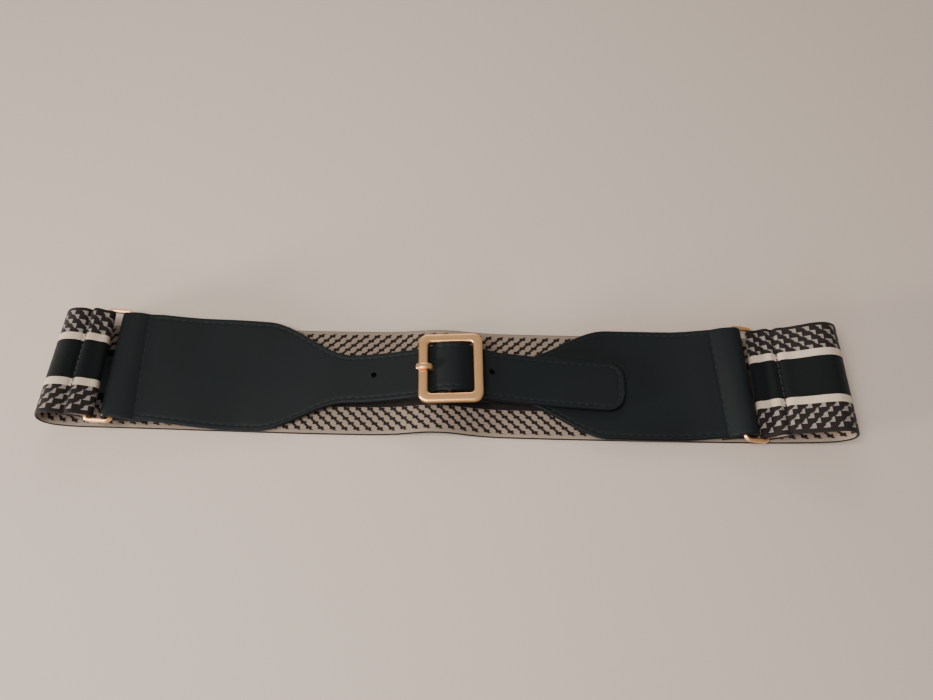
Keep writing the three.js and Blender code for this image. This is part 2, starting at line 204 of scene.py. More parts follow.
def strip(rows, thickness, half_width, step, outward=1):
    """A strip along a path. For each cut it holds the distance s, the middle point, the unit vectors
    across and out of the strip, and half the width. outward is -1 where the path runs the other way round,
    so that out still points to the outer face. Nothing goes below the table."""
    s, cut_rows = smooth(rows, step)
    x, near, far, turn, mid = cut_rows.T
    near, far = np.maximum(near, thickness / 2), np.maximum(far, thickness / 2)
    half, angle = half_width(x), np.radians(turn)
    edge = np.stack([half * np.sin(angle), -half * np.cos(angle), (near - far) / 2], axis=1)
    middle = np.stack([x, mid, (near + far) / 2], axis=1)
    across = -edge / np.linalg.norm(edge, axis=1)[:, None]
    out = outward * np.cross(np.gradient(middle, s, axis=0), across)
    return {"s": s, "middle": middle, "across": across, "half": half, "thickness": thickness,
            "out": out / np.linalg.norm(out, axis=1)[:, None]}


def on_strip(band, s, v, rise, proud=0.0):
    """The points of a strip at distances s along it and v across it. rise runs from -1 on the inner face to
    1 on the outer one, where the strip's pinch has thinned it and its lift moved both; proud is added."""
    place, across, out = (np.stack([np.interp(s, band["s"], column) for column in band[key].T], axis=-1)
                          for key in ("middle", "across", "out"))
    half = np.interp(s, band["s"], band["half"])
    height = rise * band["thickness"] / 2 * (1 - band["pinch"](s, v, half)) + band["lift"](s, v, half)
    return place + across * v[..., None] + out * (height + proud)[..., None]


def crossing(band, x, which):
    """The distance s at which a strip passes x for the first time, the second and so on, from 0."""
    return band["s"][np.flatnonzero(np.diff(np.sign(band["middle"][:, 0] - x)))[which]]


def solid(name, points, faces, flat=None, side=None):
    """A smooth-shaded closed mesh from points in millimetres. Its faces point out: where the sum of the
    tetrahedra from the origin to each face is negative they are turned round."""
    points = np.asarray(points, float)
    fans = [(f[0], f[i], f[i + 1]) for f in faces for i in range(1, len(f) - 1)]
    a, b, c = points[np.array(fans)].transpose(1, 0, 2)
    if (a * np.cross(b, c)).sum() < 0:
        faces = [f[::-1] for f in faces]
    mesh = bpy.data.meshes.new(name)
    mesh.from_pydata((points * MM).tolist(), [], faces)
    mesh.polygons.foreach_set("use_smooth", np.ones(len(mesh.polygons), bool))
    if flat is not None:
        loop = np.empty(len(mesh.loops), int)
        mesh.loops.foreach_get("vertex_index", loop)
        mesh.uv_layers.new(name="flat").data.foreach_set("uv", (np.asarray(flat)[loop] * MM).ravel())
        mesh.attributes.new("side", "FLOAT", "POINT").data.foreach_set("value", np.asarray(side, float))
    piece = bpy.data.objects.new(name, mesh)
    bpy.context.collection.objects.link(piece)
    return piece


def strip_surface(name, band, columns, edge):
    """A strip with round edges: the outer and inner face, whose places across are a function of half the
    width less the edge, joined by half ellipses whose reach is edge."""
    turns = np.linspace(-np.pi / 2, np.pi / 2, EDGE_CUTS + 2)[1:-1]
    flat = columns(band["half"][:, None] - edge)
    count = flat.shape[1]
    ones = np.ones((len(flat), EDGE_CUTS))
    v = np.hstack([flat, flat[:, -1:] * ones + np.cos(turns) * edge,
                   flat[:, ::-1], flat[:, :1] * ones - np.cos(turns) * edge])
    rise = np.concatenate([np.ones(count), -np.sin(turns), -np.ones(count), np.sin(turns)])
    rise = np.broadcast_to(rise, v.shape)
    s = np.broadcast_to(band["s"][:, None], v.shape)
    points = on_strip(band, s, v, rise)
    index = np.arange(v.size).reshape(v.shape)
    nxt = np.roll(index, -1, axis=1)
    quads = np.stack([index[:-1], nxt[:-1], nxt[1:], index[1:]], axis=-1).reshape(-1, 4).tolist()
    ends = [index[0][::-1].tolist(), index[-1].tolist()]
    return solid(name, points.reshape(-1, 3), quads + ends,
                 np.stack([s, v], axis=-1).reshape(-1, 2), rise.ravel())


def dent(distance, width):
    """A soft round dip: one at the middle, falling off as the bell curve of distance over width."""
    return np.exp(-(distance / width) ** 2)


fold_radius = WIRE / 2 + GAP + ELASTIC_THICKNESS / 2
elastic_rows = np.vstack([
    path((-159.4, 13.9, 13.9, 0, 0.4), (-157.4, 13.9, 13.9, 0.5, 0.5), (-154, 12.8, 12.8, 2, 0.6)),
    fold(ring_bar(LEFT_RING, -1), fold_radius, -100, 95),
    path((-153.6, 16, 16.2, 2, 0.6), (-156, 16.2, 16.4, 1, 0.5), (-157.6, 15.6, 15.8, 0.5, 0.4),
         (-159.4, 16.6, 16.6, 0, 0.3), (-162.3, 17.6, 17.4, 0, 0.2), (-165.6, 17.1, 16.8, 0, 0.2),
         (-168.5, 14.8, 14.6, 0, 0.2), (-170.45, 11.6, 11.4, 0, 0.1), (-171.25, 8.4, 8.2),
         (-170.45, 5, 4.9), (-167.8, 2.6, 2.3), (-163.8, 1.5, 1.1), (-158, 0.9, 0.7, 0, -0.1),
         (-150, 0.7, 0.7, 0, -0.1), (-125, 0.7, 0.7, 0, -0.2), (-90, 0.7, 0.7, 0, -0.5),
         (-60, 0.7, 0.7, 0, -0.7), (-36, 0.7, 0.7, 0, -0.6), (-27, 0.8, 0.75, 0, -0.5),
         (-19, 1.7, 1.2, 0, -0.4), (-12, 3.5, 2.2, 0, -0.3), (-5.5, 4.8, 3, 0, -0.2), (0, 5, 3.2, 0, -0.2),
         (5.5, 4.3, 2.8, 0, -0.2), (11.5, 2.8, 2, 0, -0.3), (18, 1.3, 1.1, 0, -0.3),
         (25, 0.7, 0.7, 0, -0.4), (50, 0.7, 0.7, 0, -0.5), (80, 0.7, 0.7, 0, -0.4),
         (110, 0.7, 0.7, 0, -0.2), (128, 0.8, 0.7), (140, 1.4, 0.8), (151.6, 2.4, 1.1), (160, 3.6, 1.9),
         (165.8, 5, 3.4), (169.5, 7.4, 6), (171.1, 10.4, 9.6), (170.6, 13.8, 13.2), (168.4, 17, 16.4),
         (164.6, 18.7, 17.7, 0, 0.1), (160, 17.9, 16.8, 0, 0.1), (154.8, 15.8, 14.1, 0, 0.2),
         (150.2, 13.9, 11.6, 0, 0.4), (146.5, 12.2, 10.2, 0, 0.6), (144.9, 11.3, 9.3, 0, 0.6),
         (142.3, 10.7, 9.2, 0, 0.7)),
    fold({**ring_bar(RIGHT_RING, 1), "y": 0.7}, fold_radius, 75, 280),
    path((141.1, 5.4, 5, 0, 0.7), (144, 8.1, 6.4, 0, 0.6), (146.1, 9.2, 7, 0, 0.6)),
])

# The cuts lie close together beyond these two places, where the strip turns and is hemmed
FINE_LEFT, FINE_RIGHT, FINE_STEP, WIDE_STEP = -140, 120, 0.75, 2.2
elastic = strip(elastic_rows, ELASTIC_THICKNESS, lambda x: np.full_like(x, ELASTIC_WIDTH / 2),
                lambda x: np.where((x < FINE_LEFT) | (x > FINE_RIGHT), FINE_STEP, WIDE_STEP), outward=-1)

# The hems are stitched down where the strip passes these places: on the upper layer, then on the tail
STITCH_SPACING = 2.6
LEFT_SEAM_X, RIGHT_SEAM_X = -157.6, 144.9
left_seam, left_tail = crossing(elastic, LEFT_SEAM_X, 1), crossing(elastic, LEFT_SEAM_X, 0)
right_seam, right_tail = crossing(elastic, RIGHT_SEAM_X, 1), crossing(elastic, RIGHT_SEAM_X, 2)

# Thinning is a share of the thickness; depths, heights, places and widths are in millimetres
SQUEEZE, SQUEEZE_WIDTH = 0.5, 0.9
SELVEDGE_THINNING, SELVEDGE_WIDTH = 0.12, 1.4
SEAM_DEPTH, SEAM_WIDTH = 0.8, 1.15
PUFF_HEIGHT, PUFF_PLACE, PUFF_WIDTH = 0.22, 3.2, 1.8
WAVE_HEIGHT = 0.07


def elastic_pinch(s, v, half):
    """The seams squeeze the webbing, most at each stitch; the selvedges are a little thinner."""
    needle = 0.75 + 0.25 * np.cos(2 * np.pi * v / STITCH_SPACING)
    seams = sum(dent(s - seam, SQUEEZE_WIDTH) for seam in (left_seam, right_seam))
    return SQUEEZE * seams * needle + SELVEDGE_THINNING * dent(np.abs(v) - half, SELVEDGE_WIDTH)


def elastic_lift(s, v, half):
    """The seams are drawn in and the webbing puffs up on both sides of them, with puckers at every other
    stitch; elsewhere slow waves under a tenth of a millimetre high run over the upper layer."""
    drawn_in, puffed = 0, 0
    for seam in (left_seam, right_seam):
        drawn_in = drawn_in + dent(s - seam, SEAM_WIDTH)
        puffed = puffed + dent(np.abs(s - seam) - PUFF_PLACE, PUFF_WIDTH)
    waves = WAVE_HEIGHT * np.sin(s / 6.3 + v / 9) * np.sin(v / 5.1)
    upper = np.clip((left_seam + 22 - s) / 10, 0, 1) + np.clip((s - right_seam + 32) / 10, 0, 1)
    puckers = 1 + 0.25 * np.cos(2 * np.pi * v / (2 * STITCH_SPACING))
    return upper * (waves + PUFF_HEIGHT * puffed * puckers - SEAM_DEPTH * drawn_in)


ELASTIC_COLUMNS, ELASTIC_EDGE = 62, 0.55
elastic.update(pinch=elastic_pinch, lift=elastic_lift)
woven_band = strip_surface("woven_elastic_band", elastic,
                           lambda flat: flat * np.linspace(-1, 1, ELASTIC_COLUMNS), ELASTIC_EDGE)
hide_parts("elastic_band")
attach(woven_band, "root")

# Jacquard webbing: polyester yarns over rubber, matt, with a slight sheen along the floats. The figure is a
# stepped zigzag, each row half a repeat along from the last, drawn on the grid of warp ends and picks.
PICK, END = 0.515, 0.45
REPEAT, ROW = 10 * PICK, 5 * END
STRIPE_INSIDE, STRIPE_OUTSIDE, FIGURE_OUTSIDE, SELVEDGE, FIRST_ROW = 9.0, 12.4, 23.3, 24.6, 12.1
NUDGE = 0.01
jacquard, tree, output = new_material("jacquard_webbing")
flat_map = add(tree, "UVMap", uv_map="flat")
place = add(tree, "VectorMath", (flat_map.outputs[0], (1 / MM, 1 / MM, 0)), operation="MULTIPLY")
axes = add(tree, "SeparateXYZ", (place.outputs[0],))
along, across = axes.outputs[0], axes.outputs[1]
away = add(tree, "Math", (across,), operation="ABSOLUTE").outputs[0]
side = add(tree, "Attribute", attribute_name="side").outputs["Fac"]

# The place snapped to whole threads: picks along the band, and ends counted outwards from the first row.
# The nudge is added first, so that rounding never drops a thread.
pick = add(tree, "Math", (along, NUDGE), operation="ADD").outputs[0]
pick = add(tree, "Math", (pick, PICK), operation="SNAP").outputs[0]
repeats = add(tree, "Math", (pick, REPEAT), operation="DIVIDE").outputs[0]
end = add(tree, "Math", (away, NUDGE - FIRST_ROW), operation="ADD").outputs[0]
end = add(tree, "Math", (end, END), operation="SNAP").outputs[0]
rows = add(tree, "Math", (end, ROW), operation="DIVIDE").outputs[0]
row = add(tree, "Math", (add(tree, "Math", (rows, NUDGE), operation="ADD").outputs[0],),
          operation="FLOOR").outputs[0]
in_row = add(tree, "Math", (rows, row), operation="SUBTRACT").outputs[0]
part_at = add(tree, "Math", (row, -0.5, repeats), operation="MULTIPLY_ADD").outputs[0]
part = add(tree, "Math", (part_at,), operation="FRACT").outputs[0]

# On the outer face each row's cream floats grow in steps from a straight edge, in parts of the repeat
FLOAT_GROWTH, FLOAT_START = 0.4, 0.12
reach = add(tree, "Math", (in_row, FLOAT_GROWTH, FLOAT_START), operation="MULTIPLY_ADD").outputs[0]
floats = add(tree, "Math", (part, reach), operation="LESS_THAN").outputs[0]

# On the inner face dark square blocks lie in the middle of each row, joined by slanted links. Half their
# sizes are given in parts of the repeat and of the row.
BLOCK_ALONG, BLOCK_MIDDLE, BLOCK_ACROSS = 0.24, 0.4, 0.25
LINK_SHIFT, LINK_ALONG = 0.2, 0.11
block = add(tree, "Math", (part, 0.5, BLOCK_ALONG), operation="COMPARE").outputs[0]
block_across = add(tree, "Math", (in_row, BLOCK_MIDDLE, BLOCK_ACROSS), operation="COMPARE").outputs[0]
block = add(tree, "Math", (block, block_across), operation="MULTIPLY").outputs[0]
link_at = add(tree, "Math", (rows, -0.5, repeats), operation="MULTIPLY_ADD").outputs[0]
link_at = add(tree, "Math", (link_at, LINK_SHIFT), operation="ADD").outputs[0]
link_part = add(tree, "Math", (link_at,), operation="FRACT").outputs[0]
link = add(tree, "Math", (link_part, 0.5, LINK_ALONG), operation="COMPARE").outputs[0]
blocks = add(tree, "Math", (block, link), operation="MAXIMUM").outputs[0]

# Zones across the width
past_stripe = add(tree, "Math", (away, STRIPE_OUTSIDE), operation="GREATER_THAN").outputs[0]
past_figure = add(tree, "Math", (away, FIGURE_OUTSIDE), operation="GREATER_THAN").outputs[0]
past_centre = add(tree, "Math", (away, STRIPE_INSIDE), operation="GREATER_THAN").outputs[0]
selvedge = add(tree, "Math", (away, SELVEDGE), operation="GREATER_THAN").outputs[0]
in_figure = add(tree, "Math", (past_stripe, past_figure), operation="SUBTRACT").outputs[0]
in_stripe = add(tree, "Math", (past_centre, past_stripe), operation="SUBTRACT").outputs[0]
drawn = add(tree, "Math", (in_figure, floats), operation="MULTIPLY").outputs[0]
drawn_dark = add(tree, "Math", (in_figure, blocks), operation="MULTIPLY").outputs[0]

# Yarn colours vary a little from thread to thread. The cream looks duller between dark threads, which show
# through it, than in the plain stripe: greyer on the outer face. On the inner face it is browner, and also
# darkened with painted shade for the shadow of the strap and the upper layer that lies over that face.
yarn = add(tree, "TexNoise", {"Vector": add(tree, "VectorMath", (place.outputs[0], (0.12, 2.0, 1)),
                                            operation="MULTIPLY").outputs[0], "Scale": 1.0, "Detail": 3.0})
cream, grey_cream, shaded_inner_cream, dark, band_dark = (
    add(tree, "Mix", {"Factor": yarn.outputs[0], "A": linear(low), "B": linear(high)},
        data_type="RGBA").outputs["Result"]
    for low, high in (("#b8a793", "#cebeaa"), ("#756e67", "#928a82"), ("#807264", "#9e8f80"),
                      ("#1a1716", "#272221"), ("#0a0e0f", "#101416")))
outer = add(tree, "Mix", {"Factor": drawn, "A": dark, "B": grey_cream}, data_type="RGBA")
outer = add(tree, "Mix", {"Factor": in_stripe, "A": outer.outputs["Result"], "B": cream}, data_type="RGBA")
outer = add(tree, "Mix", {"Factor": past_centre, "A": band_dark, "B": outer.outputs["Result"]},
            data_type="RGBA")
inked = add(tree, "Math", (drawn_dark, in_stripe), operation="MAXIMUM").outputs[0]
inked = add(tree, "Math", (inked, selvedge), operation="MAXIMUM").outputs[0]
# On the inner face the cream carries painted shade: it is darker than the same yarn on the outer face
inner = add(tree, "Mix", {"Factor": inked, "A": shaded_inner_cream, "B": dark}, data_type="RGBA")
inner = add(tree, "Mix", {"Factor": past_centre, "A": linear("#4b4b4a"), "B": inner.outputs["Result"]},
            data_type="RGBA")
facing_in = add(tree, "Math", (side, 0.0), operation="LESS_THAN").outputs[0]
colour = add(tree, "Mix", {"Factor": facing_in, "A": outer.outputs["Result"],
                           "B": inner.outputs["Result"]}, data_type="RGBA")

# Relief: picks as fine ribs across the band, ends along it, and the figure's floats standing proud
PICK_RIB, END_RIB, RELIEF = 0.3, 0.2, 0.12 * MM
rib = add(tree, "Math", (add(tree, "Math", (along, 2 * np.pi / PICK), operation="MULTIPLY").outputs[0],),
          operation="SINE").outputs[0]
end_rib = add(tree, "Math", (add(tree, "Math", (across, 2 * np.pi / END), operation="MULTIPLY").outputs[0],),
              operation="SINE").outputs[0]
relief = add(tree, "Math", (rib, PICK_RIB, drawn), operation="MULTIPLY_ADD").outputs[0]
relief = add(tree, "Math", (end_rib, END_RIB, relief), operation="MULTIPLY_ADD").outputs[0]
bump = add(tree, "Bump", {"Height": relief, "Distance": RELIEF, "Strength": 0.8})
surface = add(tree, "BsdfPrincipled", {
    "Base Color": colour.outputs["Result"], "Roughness": 0.85, "Specular IOR Level": 0.15,
    "Sheen Weight": 0.08, "Sheen Roughness": 0.4, "Normal": bump.outputs[0]})
tree.links.new(surface.outputs[0], output.inputs[0])
woven_band.data.materials.append(jacquard)


# Hem stitches of the elastic
# Each hem is sewn down with one row of lockstitch in near-black polyester, which shows on the upper layer
# and on the tail inside.
def power(value, exponent):
    """A value's size raised to an exponent, with its sign kept."""
    return np.sign(value) * np.abs(value) ** exponent


def superellipsoid(size, flat_power, round_power, rings=12, around=24):
    """A rounded block or bar: x and y follow cos and sin of the way round to one power, times cos of the
    height's angle to another, and z its sin. Its two poles are closed."""
    up = np.linspace(-np.pi / 2, np.pi / 2, rings + 2)[1:-1, None]
    turn = np.linspace(0, 2 * np.pi, around, endpoint=False)[None]
    x = power(np.cos(up), flat_power) * power(np.cos(turn), round_power)
    y = power(np.cos(up), flat_power) * power(np.sin(turn), round_power)
    z = np.broadcast_to(power(np.sin(up), flat_power), x.shape)
    points = np.stack([x, y, z], axis=-1).reshape(-1, 3)
    points = np.vstack([points, [[0, 0, -1], [0, 0, 1]]]) * np.array(size) / 2
    index = np.arange(rings * around).reshape(rings, around)
    nxt = np.roll(index, -1, axis=1)
    quads = np.stack([index[:-1], nxt[:-1], nxt[1:], index[1:]], axis=-1).reshape(-1, 4).tolist()
    south = [[rings * around, int(b), int(a)] for a, b in zip(index[0], nxt[0])]
    north = [[rings * around + 1, int(a), int(b)] for a, b in zip(index[-1], nxt[-1])]
    return points, quads + south + north


def together(*parts):
    """Joins lists of points and their faces into one."""
    points, faces, count = [], [], 0
    for part_points, part_faces in parts:
        points.append(part_points)
        faces += [[int(i) + count for i in face] for face in part_faces]
        count += len(part_points)
    return np.vstack(points), faces


def stitches(band, line, face, pitch, size, sunk):
    """A row of stitches along a line of points (s, v) on one face of a strip. Each is a small rounded bar
    of size length, width and height, at equal steps near the pitch, turned along the line and out of the
    face, its middle sunk below the surface."""
    line = np.asarray(line, float)
    length = np.append(0, np.linalg.norm(np.diff(line, axis=0), axis=1).cumsum())
    count = int(length[-1] / pitch)
    t = (np.arange(count) + 0.5) * length[-1] / count
    s, v = (np.interp(t, length, line[:, k]) for k in (0, 1))
    s_before, v_before = (np.interp(t - pitch / 4, length, line[:, k]) for k in (0, 1))
    s_after, v_after = (np.interp(t + pitch / 4, length, line[:, k]) for k in (0, 1))
    rise = np.full(count, float(face))
    centre = on_strip(band, s, v, rise, -face * sunk)
    ahead = on_strip(band, s_after, v_after, rise) - on_strip(band, s_before, v_before, rise)
    ahead = ahead / np.linalg.norm(ahead, axis=1)[:, None]
    out = face * np.stack([np.interp(s, band["s"], column) for column in band["out"].T], axis=-1)
    beside = np.cross(out, ahead)
    beside = beside / np.linalg.norm(beside, axis=1)[:, None]
    bar, faces = superellipsoid(size, 0.8, 0.8, 3, 6)
    points = centre[:, None] + np.einsum("pi,kij->kpj", bar, np.stack([ahead, beside, out], axis=1))
    copies = [[i + k * len(bar) for i in one] for k in range(count) for one in faces]
    return points.reshape(-1, 3), copies


HEM_THREAD, HEM_SUNK, HEM_REACH = (2.4, 1.0, 0.6), 0.05, 24.2
across_band = [(0, -HEM_REACH), (0, HEM_REACH)]
hem_rows = [stitches(elastic, np.add([(seam, 0)], across_band), 1, STITCH_SPACING, HEM_THREAD, HEM_SUNK)
            for seam in (left_seam, left_tail, right_seam, right_tail)]
hem_thread = solid("elastic_hem_thread", *together(*hem_rows))
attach(hem_thread, "root")

# Polyester sewing thread: two plies twisted together, with a dull sheen
black_thread, tree, output = new_material("near_black_thread")
surface = add(tree, "BsdfPrincipled", {
    "Base Color": linear("#1b1714"), "Roughness": 0.6, "Sheen Weight": 0.3, "Specular IOR Level": 0.35})
tree.links.new(surface.outputs[0], output.inputs[0])
hem_thread.data.materials.append(black_thread)


# Leather strap panel
# Two layers of smooth coated leather, glued and stitched round the edge. A hem holds the left ring, the
# panel narrows to the strap, and the strap goes through the buckle and ends in a round tip.
LEATHER_WIDTH, LEATHER_THICKNESS, STRAP_WIDTH, TAPER_LENGTH = 51.8, 2.0, 22.8, 40.0
STRAP_END, TIP_RADIUS, STRAP_TAPER_START = 79.0, 7.0, -80.0
HEM_WIDTH, STRAP_HEM_START = 50.0, -130.0
STITCH_INSET, EDGE_ROUND, LEATHER_STEP = 2.2, 0.75, 0.7
BUCKLE = {"x": 4.2, "y": 0.9, "turn": 3}
CENTRE_BAR = {**BUCKLE, "z": 10.1, "radius": 1.3}


def taper(wide, narrow, start, x):
    """Half the width where a panel narrows: a smooth step, 3t^2 - 2t^3, over the taper's length."""
    t = np.clip((x - start) / TAPER_LENGTH, 0, 1)
    return (wide + (narrow - wide) * t * t * (3 - 2 * t)) / 2


def round_end(distance, radius):
    """How far a round corner has drawn in at a distance from the end: the radius less the circle."""
    inside = np.clip(1 - distance / radius, 0, 1)
    return radius * (1 - np.sqrt(1 - inside * inside))


def strap_half(x):
    """Half the width: a little less in the hem, to fit the ring, then the panel, the strap and its tip."""
    panel = np.minimum(taper(HEM_WIDTH, LEATHER_WIDTH, STRAP_HEM_START, x),
                       taper(LEATHER_WIDTH, STRAP_WIDTH, STRAP_TAPER_START, x))
    return panel - round_end(STRAP_END - x, TIP_RADIUS)


HEM_SLACK = 0.2
leather_fold = WIRE / 2 + GAP + HEM_SLACK + LEATHER_THICKNESS / 2
strap_rows = np.vstack([
    path((-127.8, 6.8, 8.8, 1, 0.5), (-131.1, 7.1, 8.9, 3, 0.6), (-135.6, 7.6, 8.6, 2, 0.6)),
    fold({**ring_bar(LEFT_RING, 1), "x": -141.07, "turn": 2.2}, leather_fold, 275, 75),
    path((-135.6, 11.8, 12.8, 2.5, 0.6), (-131.1, 9.6, 11.6, 4, 0.6), (-126, 9.1, 11.3, 2.5, 0.5),
         (-118, 8.2, 10.1, 1.5, 0.2), (-108, 6.7, 8.6, 1, -0.1), (-97, 4.7, 7.7, 0, -0.2),
         (-87, 3.4, 6.8, 0, -0.2), (-77, 3.6, 5.7, 0, -0.3), (-70, 3.9, 5.3, 0, -0.5),
         (-63, 4.3, 5.3, 0, -0.8), (-56, 4.9, 5.5, 0, -1.2), (-49, 5.5, 5.8, 0, -1.6),
         (-42, 6.1, 6.2, 0, -1.8), (-32, 7.2, 7.2, 0, -1.7), (-22, 8.8, 8.8, 1, -1.2),
         (-14, 10.2, 10.2, 2, -0.6), (-8, 11, 11, 3, 0.1), (-4.6, 12.1, 12.1, 3, 0.6),
         (-2, 14.1, 14.1, 3, 1), (0.8, 15.5, 15.5, 3, 1.15), (4.4, 16, 16, 3, 1.15),
         (8.2, 15.6, 15.6, 3, 1.25), (10.9, 14.2, 14.2, 3, 1.35), (14, 12.1, 12.1, 3, 1.2),
         (18.5, 10.8, 10.8, 2, 0.4), (24, 9.6, 9.6, 0, -0.4), (34, 8.5, 8.5, -2, -1),
         (46, 7.5, 7.5, -3, -1.6), (58, 7, 7, -3, -2.2), (68, 6.8, 6.6, -3, -2.7), (73, 6.8, 6.5, -3, -2.9),
         (76.4, 6.8, 6.5, -3, -3.1), (78.3, 6.8, 6.5, -3, -3.2), (79, 6.8, 6.5, -3, -3.2)),
])
strap = strip(strap_rows, LEATHER_THICKNESS, strap_half, lambda x: np.full_like(x, LEATHER_STEP))
STRAP_SEAM_X = -131.1
strap_seam, strap_tail = crossing(strap, STRAP_SEAM_X, 1), crossing(strap, STRAP_SEAM_X, 0)
strap_tip = strap["s"][-1]


# The groove and the seam thin the strip by these shares of its thickness, over these widths
GROOVE_DEPTH, GROOVE_WIDTH = 0.16, 0.5
SEAM_DIP, DIP_WIDTH, SEAM_HOLLOW, HOLLOW_WIDTH = 0.28, 0.7, 0.06, 2.5
INNER_INSET, INNER_COLUMNS = 4.1, 19


def edge_columns(flat):
    """Places across a leather strip: close together near both edges, where the stitch groove lies, and
    eighteen even steps between."""
    near_edge = np.array([0, 0.4, 0.7, 0.95, 1.2, 1.45, 1.7, 1.95, 2.25, 2.7, 3.3])
    inner = (flat - INNER_INSET) * np.linspace(-1, 1, INNER_COLUMNS)
    return np.hstack([near_edge - flat, inner, flat - near_edge[::-1]])


def strap_groove(s, v, half):
    """The stitch groove: a dip along the line that stays the inset's distance from the edge. Round the tip
    the distance to the edge is the corner's radius less the distance to the corner's centre."""
    straight = np.maximum(half, STRAP_WIDTH / 2)
    past, beside = s - strap_tip + TIP_RADIUS, np.abs(v) - straight + TIP_RADIUS
    corner = TIP_RADIUS - np.hypot(past, beside)
    distance = np.where((past > 0) & (beside > 0), corner, np.minimum(straight - np.abs(v), strap_tip - s))
    return dent(distance - STITCH_INSET, GROOVE_WIDTH) * (s > strap_seam)


def seam_pinch(distance):
    """A hem's seam: a narrow deep dip in a wide shallow hollow."""
    return SEAM_DIP * dent(distance, DIP_WIDTH) + SEAM_HOLLOW * dent(distance, HOLLOW_WIDTH)


def strap_pinch(s, v, half):
    """The stitching presses the two layers together, and so does the seam of the hem."""
    return GROOVE_DEPTH * strap_groove(s, v, half) + seam_pinch(s - strap_seam)


def strap_lift(s, v, half):
    """Slow swells of a quarter millimetre over the wide panel, none in the hem or at the buckle."""
    t = s - strap_seam
    open_part = np.clip(t / 14, 0, 1) * np.clip((100 - t) / 30, 0, 1)
    return 0.22 * open_part * np.sin(t / 13 + 0.6) * np.cos(v / 12) - 0.15 * open_part * dent(v - 8, 9)


strap.update(pinch=strap_pinch, lift=strap_lift)
strap_panel = strip_surface("strap_panel", strap, edge_columns, EDGE_ROUND)


PUNCH_SIDES, PUNCH_REACH = 28, 3


def punch(band, x, v, reach_s, reach_v):
    """A prism through a strip for a punched hole: an ellipse in the strip's own distances s and v."""
    angle = np.linspace(0, 2 * np.pi, PUNCH_SIDES, endpoint=False)
    s = crossing(band, x, 0) + reach_s * np.cos(angle)
    rings = [on_strip(band, s, v + reach_v * np.sin(angle), np.zeros(PUNCH_SIDES), height)
             for height in (-PUNCH_REACH, PUNCH_REACH)]
    index = np.arange(PUNCH_SIDES)
    beside = (index + 1) % PUNCH_SIDES
    walls = np.stack([index, beside, beside + PUNCH_SIDES, index + PUNCH_SIDES], axis=1).tolist()
    return solid("punch", np.vstack(rings), walls + [index[::-1].tolist(), (index + PUNCH_SIDES).tolist()])


def cut(piece, cutter):
    """Takes the cutter's space out of a piece and removes the cutter. New corners stay sharp."""
    tool = piece.modifiers.new("cut", "BOOLEAN")
    tool.operation, tool.solver, tool.object = "DIFFERENCE", "EXACT", cutter
    mesh = bpy.data.meshes.new_from_object(piece.evaluated_get(bpy.context.evaluated_depsgraph_get()))
    piece.modifiers.clear()
    piece.data = mesh
    bpy.data.objects.remove(cutter)
    mesh.set_sharp_from_angle(angle=np.radians(50))


# Two free holes, then the middle one, which the prong has stretched: x, place across, half the sizes
FREE_HOLE, PRONG_HOLE = (1.1, 1.1), (2.2, 1.8)
for x, v, sizes in ((-29.3, 0.9, FREE_HOLE), (21.9, 1.1, FREE_HOLE), (-3.6, -0.1, PRONG_HOLE)):
    cut(strap_panel, punch(strap, x, v, *sizes))
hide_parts("leather_strap_panel")
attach(strap_panel, "root")

# Coated cowhide: smooth-finished, dyed a green so dark that it reads black, nearly matt, with a fine pore
# grain half a millimetre wide. The cut edge, where side is well below 1, is painted black and polished.
GRAIN, PORE, CLOUD, GRAIN_DEPTH = 0.55 * MM, 0.3 * MM, 28 * MM, 0.05 * MM
EDGE_START, EDGE_ROUGHNESS = 0.93, 0.3
hide, tree, output = new_material("coated_leather")
where = add(tree, "TexCoord").outputs["Object"]
cells = add(tree, "TexVoronoi", {"Vector": where, "Scale": 1 / GRAIN}, feature="SMOOTH_F1")
pores = add(tree, "TexNoise", {"Vector": where, "Scale": 1 / PORE, "Detail": 2.0})
cloud = add(tree, "TexNoise", {"Vector": where, "Scale": 1 / CLOUD, "Detail": 4.0})
shade = add(tree, "Mix", {"Factor": cloud.outputs[0], "A": linear("#0b1012"), "B": linear("#12191b")},
            data_type="RGBA")
face = add(tree, "Attribute", attribute_name="side").outputs["Fac"]
painted = add(tree, "Math", (add(tree, "Math", (face,), operation="ABSOLUTE").outputs[0], EDGE_START),
              operation="LESS_THAN").outputs[0]
shade = add(tree, "Mix", {"Factor": painted, "A": shade.outputs["Result"], "B": linear("#080b0d")},
            data_type="RGBA")
matt = add(tree, "MapRange", {"Value": cloud.outputs[0], "To Min": 0.6, "To Max": 0.7})
gloss = add(tree, "Mix", {"Factor": painted, "A": matt.outputs[0], "B": EDGE_ROUGHNESS})
grain = add(tree, "Math", (cells.outputs["Distance"], 0.6, pores.outputs[0]), operation="MULTIPLY_ADD")
bump = add(tree, "Bump", {"Height": grain.outputs[0], "Distance": GRAIN_DEPTH, "Strength": 0.35})
surface = add(tree, "BsdfPrincipled", {
    "Base Color": shade.outputs["Result"], "Roughness": gloss.outputs[0], "IOR": 1.5,
    "Specular IOR Level": 0.2, "Normal": bump.outputs[0]})
tree.links.new(surface.outputs[0], output.inputs[0])
strap_panel.data.materials.append(hide)

